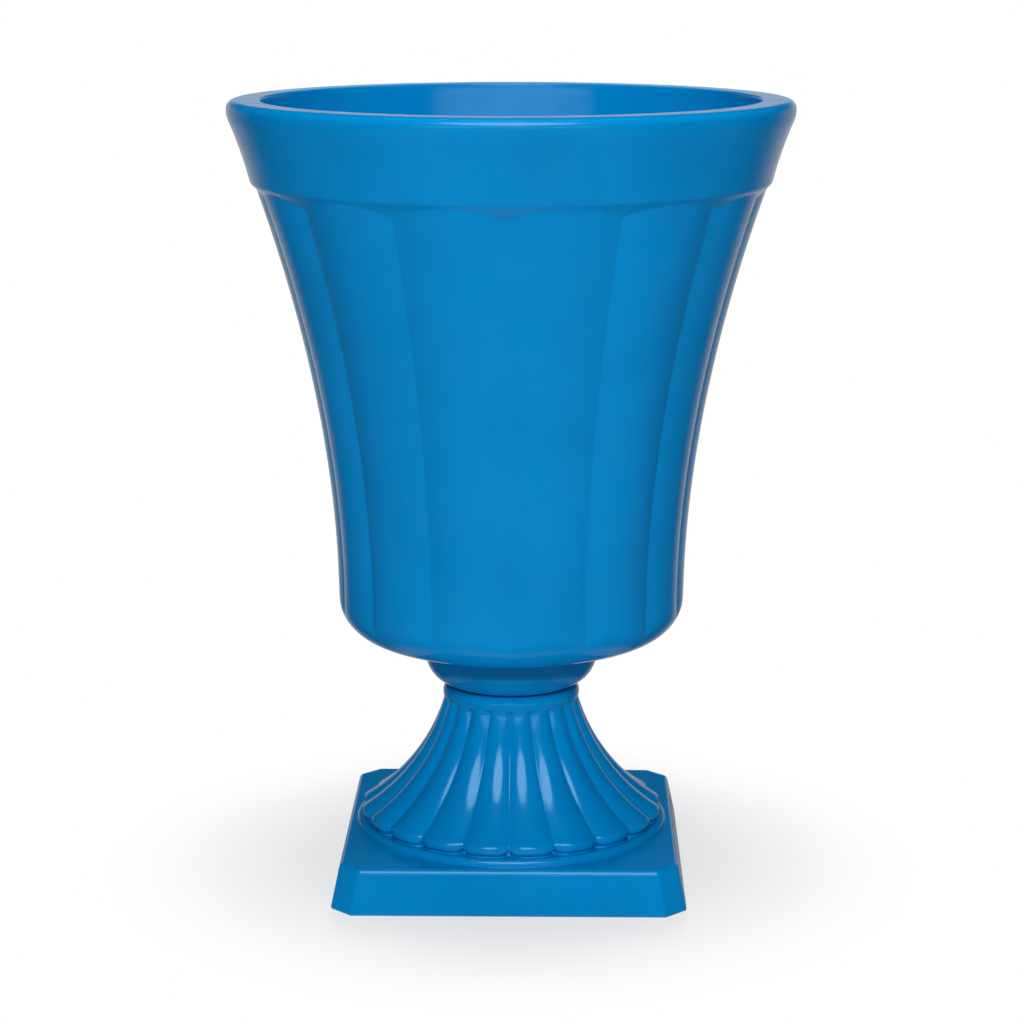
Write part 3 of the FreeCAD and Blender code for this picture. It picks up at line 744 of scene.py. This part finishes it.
def plinth_ring(bm, sizes, level, inset):
    """One ring of the cut-cornered square at a level, moved in from the outside by an inset."""
    taper = level / sizes.plinth_height
    side = (sizes.plinth_width + (sizes.plinth_top_width - sizes.plinth_width) * taper) / 2
    cut = sizes.plinth_corner * side / (sizes.plinth_width / 2)
    arris = sizes.plinth_arris
    along = side - cut - arris * math.tan(math.pi / 8)
    bow = arris - inset
    eighth = math.pi / 4
    quarter = [(side - inset, along * (index / 20 - 1)) for index in range(1, 40)]
    for place, start in (((side - arris, along), 0.0), ((along, side - arris), eighth)):
        turns = [start + eighth * step / 8 for step in range(9)]
        quarter += [(place[0] + bow * math.cos(turn), place[1] + bow * math.sin(turn)) for turn in turns]
    vertices = []
    for facing in range(4):
        cos, sin = (1, 0, -1, 0)[facing], (0, 1, 0, -1)[facing]
        vertices += [bm.verts.new((x * cos - y * sin, x * sin + y * cos, level)) for x, y in quarter]
    return vertices


def add_plinth(bm, sizes, outer_radius, inner_radius, plate):
    """Plinth on the pedestal's two open rings: soft top edge, leaning sides and an open underside."""
    top = sizes.plinth_height
    edge = sizes.plinth_edge
    profile = [(top, edge + 0.15 * MM)]
    for step in range(9):
        turn = math.pi / 2 * step / 8
        profile.append((top - edge * (1 - math.cos(turn)), edge * (1 - math.sin(turn))))
    foot = 1.1 * MM
    profile += [(top - edge - 0.8 * MM, 0.0), (foot + 0.8 * MM, 0.0)]
    for step in range(6):
        turn = math.pi / 2 * step / 5
        profile.append((foot * (1 - math.sin(turn)), foot * (1 - math.cos(turn))))
    inner = 0.5 * MM
    profile.append((0.0, sizes.wall - inner))
    profile.append((inner, sizes.wall))
    profile.append((plate - 1.0 * MM, sizes.wall))
    profile.append((plate, sizes.wall + 0.1 * MM))
    rings = [plinth_ring(bm, sizes, level, inset) for level, inset in profile]
    for low, high in zip(rings, rings[1:]):
        bridge(bm, low, high)
    stitch(bm, rings[0], open_ring(bm, outer_radius, top))
    stitch(bm, rings[-1], open_ring(bm, inner_radius, plate))


# ---- finishes ----

def empty_tree(owner):
    """The node tree of a material or world, with nothing in it."""
    owner.use_nodes = True
    owner.node_tree.nodes.clear()
    return owner.node_tree


def surface_tree(name):
    """A new material with its shader, its output and the object coordinates that every pattern reads."""
    material = bpy.data.materials.new(name)
    tree = empty_tree(material)
    shader = add_node(tree, "ShaderNodeBsdfPrincipled")
    add_node(tree, "ShaderNodeOutputMaterial", links={"Surface": shader.outputs["BSDF"]})
    place = add_node(tree, "ShaderNodeTexCoord")
    return material, tree, shader, place.outputs["Object"]


def noise(tree, place, spacing, detail=2.0, roughness=0.5):
    """Cloudy pattern whose blotches are about a real spacing across."""
    return add_node(
        tree, "ShaderNodeTexNoise",
        {"Scale": 1.0 / spacing, "Detail": detail, "Roughness": roughness}, {"Vector": place},
    ).outputs["Fac"]


def spread(tree, source, low, high, start=0.35, end=0.65):
    """A pattern's middle range stretched between two numbers."""
    return add_node(
        tree, "ShaderNodeMapRange",
        {"From Min": start, "From Max": end, "To Min": low, "To Max": high}, {"Value": source},
    ).outputs["Result"]


def colours(tree, pattern, first, second):
    """One colour turning into another over a pattern's middle range."""
    return add_node(
        tree, "ShaderNodeMix", {6: first, 7: second}, {0: spread(tree, pattern, 0.0, 1.0)}, data_type="RGBA"
    ).outputs[2]


def bump(tree, height, distance, under=None):
    """A normal that follows a pattern's height, over another normal if one is given."""
    links = {"Height": height}
    if under is not None:
        links["Normal"] = under
    return add_node(tree, "ShaderNodeBump", {"Distance": distance}, links).outputs["Normal"]


def moulded_polyethylene(finishes):
    """Pigmented polyethylene from a polished mould.

    The pigment is even with faint clouds, the skin is semi-gloss with a fine orange peel, and handling leaves
    hairline scuffs that are only seen where the surface catches a lamp.
    """
    material, tree, shader, place = surface_tree("moulded_polyethylene_blue")
    blue = list(finishes.polyethylene)
    cloudy = colours(tree, noise(tree, place, 90 * MM, 3.0), tinted(blue, 0.95), tinted(blue, 1.05))
    streaks_place = add_node(tree, "ShaderNodeMapping", {"Scale": (1.0, 1.0, 0.25)}, {"Vector": place})
    flow = noise(tree, streaks_place.outputs["Vector"], 22 * MM)
    flowed = add_node(
        tree, "ShaderNodeMix", {7: (0.94, 0.965, 0.98, 1.0)}, {6: cloudy, 0: spread(tree, flow, 0.0, 0.5)},
        data_type="RGBA", blend_type="MULTIPLY",
    )
    tree.links.new(flowed.outputs[2], shader.inputs["Base Color"])
    scuff_place = add_node(
        tree, "ShaderNodeMapping", {"Rotation": (0.3, 0.5, 0.2), "Scale": (1.0, 0.08, 1.0)}, {"Vector": place}
    )
    scuffs = noise(tree, scuff_place.outputs["Vector"], 0.9 * MM, 1.0)
    haze = noise(tree, place, 35 * MM, 4.0, 0.6)
    even = spread(tree, haze, 0.12, 0.17)
    scuffed = spread(tree, scuffs, 0.0, 0.06, 0.68, 0.78)
    rough = add_node(tree, "ShaderNodeMath", links={0: even, 1: scuffed}, operation="ADD")
    tree.links.new(rough.outputs["Value"], shader.inputs["Roughness"])
    shader.inputs["IOR"].default_value = 1.51
    # highlights stay cool over so deep a blue
    shader.inputs["Specular Tint"].default_value = (0.68, 0.93, 1.0, 1.0)
    waves = bump(tree, noise(tree, place, 14 * MM, 1.0), 0.10 * MM)
    # real orange peel is about 1 mm across, drawn at 1.6 mm so that it shows
    peel = bump(tree, noise(tree, place, 1.6 * MM), 0.012 * MM, waves)
    tree.links.new(peel, shader.inputs["Normal"])
    return material


def zinc_plated_steel(finishes):
    """Bright zinc plating over rolled steel: a grey metal with a blue and straw bloom and tooling lines."""
    material, tree, shader, place = surface_tree("zinc_plated_steel")
    red, green, blue = finishes.zinc
    bluish = opaque([red * 0.86, green * 0.92, blue])
    straw = opaque([red, green * 0.97, blue * 0.84])
    tree.links.new(colours(tree, noise(tree, place, 5 * MM, 3.0), bluish, straw), shader.inputs["Base Color"])
    shader.inputs["Metallic"].default_value = 1.0
    lines_place = add_node(tree, "ShaderNodeMapping", {"Scale": (1.0, 1.0, 9.0)}, {"Vector": place})
    lines = noise(tree, lines_place.outputs["Vector"], 1.2 * MM)
    tree.links.new(spread(tree, lines, 0.24, 0.42), shader.inputs["Roughness"])
    tree.links.new(bump(tree, lines, 0.01 * MM), shader.inputs["Normal"])
    return material


def black_rubber(finishes):
    """Moulded rubber with a dusty bloom: nearly black, matt, with a fine sandy grain."""
    material, tree, shader, place = surface_tree("moulded_black_rubber")
    black = list(finishes.rubber)
    dust = colours(tree, noise(tree, place, 4 * MM, 4.0), tinted(black, 0.8), tinted(black, 1.7))
    tree.links.new(dust, shader.inputs["Base Color"])
    tree.links.new(spread(tree, noise(tree, place, 2 * MM), 0.62, 0.8), shader.inputs["Roughness"])
    shader.inputs["IOR"].default_value = 1.52
    tree.links.new(bump(tree, noise(tree, place, 0.35 * MM), 0.02 * MM), shader.inputs["Normal"])
    return material


def kept_material(name, make, finishes):
    return bpy.data.materials.get(name) or make(finishes)


def dress(node, material):
    """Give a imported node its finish."""
    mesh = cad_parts[node].data
    mesh.materials.clear()
    mesh.materials.append(material)


# ---- the operators ----

class PlanterBowl(bpy.types.Operator):
    """Make the fluted bowl with its skirt band, rim, round bottom and boss"""
    bl_idname = "planter.bowl"
    bl_label = "Bowl"

    def execute(self, context):
        scene = context.scene
        sizes, holes = scene.planter_bowl, scene.planter_holes
        material = kept_material("moulded_polyethylene_blue", moulded_polyethylene, scene.planter_finishes)
        offsets = (0.0, 0.18, 0.36, 0.6, 0.95, 1.6, 2.6, 4.0, 5.6, 7.3, 9.1, 10.9)
        angles = flute_angles(math.tau / sizes.flutes, offsets)
        sector = sector_mesh("bowl_sector", [bowl_section_at(sizes, holes)], angles)
        mesh = repeated_round(context, "bowl_fluted", sector, sizes.flutes, material)
        bm = bmesh.new()
        bm.from_mesh(mesh)
        drilled_plate(bm, BOWL_PLATE, holes.web_top + sizes.wall, holes.web_top, holes, holes.drain_hole)
        piece = new_object(context, "bowl_fluted", finished(bm, mesh, material))
        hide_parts("bowl")
        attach(piece, "planter")
        return {"FINISHED"}


class PlanterPedestal(bpy.types.Operator):
    """Make the pedestal: rounded collar, fluted cone, bead and square plinth"""
    bl_idname = "planter.pedestal"
    bl_label = "Pedestal"

    def execute(self, context):
        scene = context.scene
        sizes, holes = scene.planter_pedestal, scene.planter_holes
        material = kept_material("moulded_polyethylene_blue", moulded_polyethylene, scene.planter_finishes)
        outer, inner, outer_radius, inner_radius, plate = pedestal_sections_at(sizes, holes)
        offsets = (0.0, 0.22, 0.44, 0.75, 1.2, 1.9, 2.9, 4.2, 5.8, 7.4)
        angles = flute_angles(math.tau / sizes.flutes, offsets)
        sector = sector_mesh("pedestal_sector", [outer, inner], angles)
        mesh = repeated_round(context, "pedestal_fluted", sector, sizes.flutes, material)
        bm = bmesh.new()
        bm.from_mesh(mesh)
        web_bottom = holes.web_top - holes.web_thickness
        drilled_plate(bm, PEDESTAL_PLATE, holes.web_top, web_bottom, holes, holes.drain_way)
        add_plinth(bm, sizes, outer_radius, inner_radius, plate)
        piece = new_object(context, "pedestal_fluted", finished(bm, mesh, material))
        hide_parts("pedestal")
        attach(piece, "planter")
        return {"FINISHED"}


class PlanterFastenings(bpy.types.Operator):
    """Finish the centre bolt, its washers and the wing nut"""
    bl_idname = "planter.fastenings"
    bl_label = "Fastenings"

    def execute(self, context):
        finishes = context.scene.planter_finishes
        steel = kept_material("zinc_plated_steel", zinc_plated_steel, finishes)
        rubber = kept_material("moulded_black_rubber", black_rubber, finishes)
        for node in ("centre_bolt", "head_washer", "nut_washer", "wing_nut"):
            dress(node, steel)
        dress("sealing_washer", rubber)
        return {"FINISHED"}


class PlanterDrainPlugs(bpy.types.Operator):
    """Finish the two drain plugs"""
    bl_idname = "planter.drain_plugs"
    bl_label = "Drain plugs"

    def execute(self, context):
        rubber = kept_material("moulded_black_rubber", black_rubber, context.scene.planter_finishes)
        for node in ("drain_plug_1", "drain_plug_2"):
            dress(node, rubber)
        return {"FINISHED"}


# ---- the stage ----

FLOOR_REACH = 12.0
FLOOR_GLOW = 1.08
WORLD_FILL = 0.07
STRIP_BEHIND = 0.5
LAMP_AIM = (0.0, 0.0, 0.25)
LAMPS = (
    # name, place, width, height, watts, shape, whether it lights body colour, whether it lights gloss
    ("key_lamp", (0.0, -4.8, 2.7), 0.9, 0.9, 226.0, "RECTANGLE", True, False),
    ("top_lamp", (0.0, -0.1, 2.3), 0.9, 0.9, 26.0, "RECTANGLE", True, False),
    ("rear_lamp", (0.0, 2.5, 1.5), 0.8, 0.8, 34.0, "RECTANGLE", True, False),
    ("gloss_softbox", (0.0, -2.0, 2.45), 2.3, 1.6, 41.0, "ELLIPSE", False, True),
    ("sheen_softbox", (0.0, -2.6, 0.84), 4.4, 0.32, 6.3, "ELLIPSE", False, True),
)
CAMERA_LENS = 97.67
CAMERA_DISTANCE = 1.9667
CAMERA_HEIGHT = 0.6865
CAMERA_SIDE = math.radians(0.9917)
CAMERA_SWING = math.radians(0.0168)
CAMERA_DIP = 12.1543  # degrees


def eased(tree, source, start, end, low, high):
    """A number that turns smoothly from low to high while its source runs from start to end."""
    return add_node(
        tree, "ShaderNodeMapRange", {"From Min": start, "From Max": end, "To Min": low, "To Max": high},
        {"Value": source}, interpolation_type="SMOOTHSTEP",
    ).outputs[0]


def switched(tree, factor, first, second):
    """One shader turning into another by a factor."""
    return add_node(tree, "ShaderNodeMixShader", links={0: factor, 1: first, 2: second}).outputs[0]


def floor_material(finishes):
    """Matt pale studio floor.

    The camera sees a soft shadow round the plinth that fades to plain white further out. For the planter's
    gloss the floor is a glow rather than a lit surface: a painted reflection that is dark, paler behind the
    planter and close in round the plinth.
    """
    material = bpy.data.materials.new("studio_floor")
    tree = empty_tree(material)
    place = add_node(tree, "ShaderNodeTexCoord").outputs["Object"]
    ray = add_node(tree, "ShaderNodeLightPath")
    away = add_node(tree, "ShaderNodeVectorMath", links={0: place}, operation="LENGTH").outputs["Value"]
    heading = add_node(tree, "ShaderNodeVectorMath", links={0: place}, operation="NORMALIZE")
    axes = add_node(tree, "ShaderNodeSeparateXYZ", links={"Vector": heading.outputs["Vector"]})
    mirrored = eased(tree, axes.outputs["Y"], 0.55, 1.0, 0.012, 0.55)
    beside = eased(tree, away, 0.17, 0.23, 0.3, 0.0)
    brighter = add_node(tree, "ShaderNodeMath", links={0: mirrored, 1: beside}, operation="MAXIMUM")
    matt = add_node(tree, "ShaderNodeBsdfDiffuse", {"Color": opaque(list(finishes.floor))})
    near = add_node(tree, "ShaderNodeEmission", {"Color": WHITE, "Strength": FLOOR_GLOW})
    far = add_node(tree, "ShaderNodeEmission", {"Color": WHITE, "Strength": 1.0})
    # painted reflection: a glow that only gloss rays see, standing in for the lit floor
    painted_reflection_glow = add_node(tree, "ShaderNodeEmission", {"Color": WHITE}, {"Strength": brighter.outputs[0]})
    lifted = add_node(tree, "ShaderNodeMixShader", {0: 0.5}, {1: matt.outputs[0], 2: near.outputs[0]})
    faded = switched(tree, eased(tree, away, 0.13, 0.31, 0.0, 1.0), lifted.outputs[0], far.outputs[0])
    glossy = switched(tree, ray.outputs["Is Glossy Ray"], matt.outputs[0], painted_reflection_glow.outputs[0])
    seen = switched(tree, ray.outputs["Is Camera Ray"], glossy, faded)
    add_node(tree, "ShaderNodeOutputMaterial", links={"Surface": seen})
    return material


def studio_world(scene):
    """White to the camera, a low even fill for body colour, and for gloss a pale strip low behind."""
    scene.world = bpy.data.worlds.new("studio")
    tree = empty_tree(scene.world)
    ray = add_node(tree, "ShaderNodeLightPath")
    heading = add_node(tree, "ShaderNodeTexCoord").outputs["Generated"]
    axes = add_node(tree, "ShaderNodeSeparateXYZ", links={"Vector": heading})
    behind = eased(tree, axes.outputs["Y"], 0.55, 1.0, 0.0, STRIP_BEHIND)
    low = eased(tree, axes.outputs["Z"], 0.06, 0.22, 1.0, 0.02)
    strip = add_node(tree, "ShaderNodeMath", links={0: behind, 1: low}, operation="MULTIPLY")
    fill = add_node(
        tree, "ShaderNodeMix", {"A": WORLD_FILL},
        {"Factor": ray.outputs["Is Glossy Ray"], "B": strip.outputs[0]},
    )
    strength = add_node(
        tree, "ShaderNodeMix", {"B": 1.0}, {"Factor": ray.outputs["Is Camera Ray"], "A": fill.outputs[0]}
    )
    back = add_node(tree, "ShaderNodeBackground", {"Color": WHITE}, {"Strength": strength.outputs[0]})
    add_node(tree, "ShaderNodeOutputWorld", links={"Surface": back.outputs[0]})


def softbox(context, name, place, width, height, watts, shape, lights_body, lights_gloss):
    """A broad lamp that faces the planter, and that lights only its body colour or only its gloss."""
    lamp = bpy.data.lights.new(name, "AREA")
    lamp.shape = shape
    lamp.size = width
    lamp.size_y = height
    lamp.energy = watts
    holder = new_object(context, name, lamp)
    holder.location = place
    holder.rotation_euler = (Vector(LAMP_AIM) - Vector(place)).to_track_quat("-Z", "Y").to_euler()
    holder.visible_diffuse = lights_body
    holder.visible_glossy = lights_gloss


class PlanterStage(bpy.types.Operator):
    """Set up the floor, the soft studio light and the camera"""
    bl_idname = "planter.stage"
    bl_label = "Stage"

    def execute(self, context):
        scene = context.scene
        scene.view_settings.view_transform = "Standard"
        corners = [(x * FLOOR_REACH, y * FLOOR_REACH, 0.0) for x, y in ((-1, -1), (1, -1), (1, 1), (-1, 1))]
        floor = new_object(context, "studio_floor", mesh_from("studio_floor", corners, [(0, 1, 2, 3)]))
        floor.data.materials.append(floor_material(scene.planter_finishes))
        studio_world(scene)
        for lamp in LAMPS:
            softbox(context, *lamp)
        camera = bpy.data.cameras.new("camera")
        camera.lens = CAMERA_LENS
        camera.sensor_width = 36.0
        holder = new_object(context, "camera", camera)
        ahead = -CAMERA_DISTANCE * math.cos(CAMERA_SIDE)
        holder.location = (CAMERA_DISTANCE * math.sin(CAMERA_SIDE), ahead, CAMERA_HEIGHT)
        holder.rotation_euler = Euler((math.radians(90 - CAMERA_DIP), 0.0, CAMERA_SIDE - CAMERA_SWING), "XYZ")
        scene.camera = holder
        return {"FINISHED"}


class PlanterPanel(bpy.types.Panel):
    """Lists the planter's pieces in the sidebar"""
    bl_idname = "VIEW3D_PT_planter"
    bl_label = "Urn Planter"
    bl_space_type = "VIEW_3D"
    bl_region_type = "UI"
    bl_category = "Planter"

    def draw(self, context):
        for operator in OPERATORS:
            self.layout.operator(operator.bl_idname)
        for group in GROUPS:
            sizes = getattr(context.scene, group)
            for name in sizes.bl_rna.properties.keys():
                if name not in ("rna_type", "name"):
                    self.layout.prop(sizes, name)


GROUPS = {
    "planter_bowl": PlanterBowlSizes,
    "planter_pedestal": PlanterPedestalSizes,
    "planter_holes": PlanterHoleSizes,
    "planter_finishes": PlanterFinishes,
}
OPERATORS = (PlanterBowl, PlanterPedestal, PlanterFastenings, PlanterDrainPlugs, PlanterStage)


def register():
    for item in (*GROUPS.values(), *OPERATORS, PlanterPanel):
        bpy.utils.register_class(item)
    for name, group in GROUPS.items():
        setattr(bpy.types.Scene, name, PointerProperty(type=group))


def unregister():
    for name in GROUPS:
        delattr(bpy.types.Scene, name)
    for item in reversed((*GROUPS.values(), *OPERATORS, PlanterPanel)):
        bpy.utils.unregister_class(item)


def main():
    register()
    bpy.ops.planter.bowl()
    bpy.ops.planter.pedestal()
    bpy.ops.planter.fastenings()
    bpy.ops.planter.drain_plugs()
    bpy.ops.planter.stage()
    bpy.context.view_layer.update()


if __name__ == "__main__":
    main()
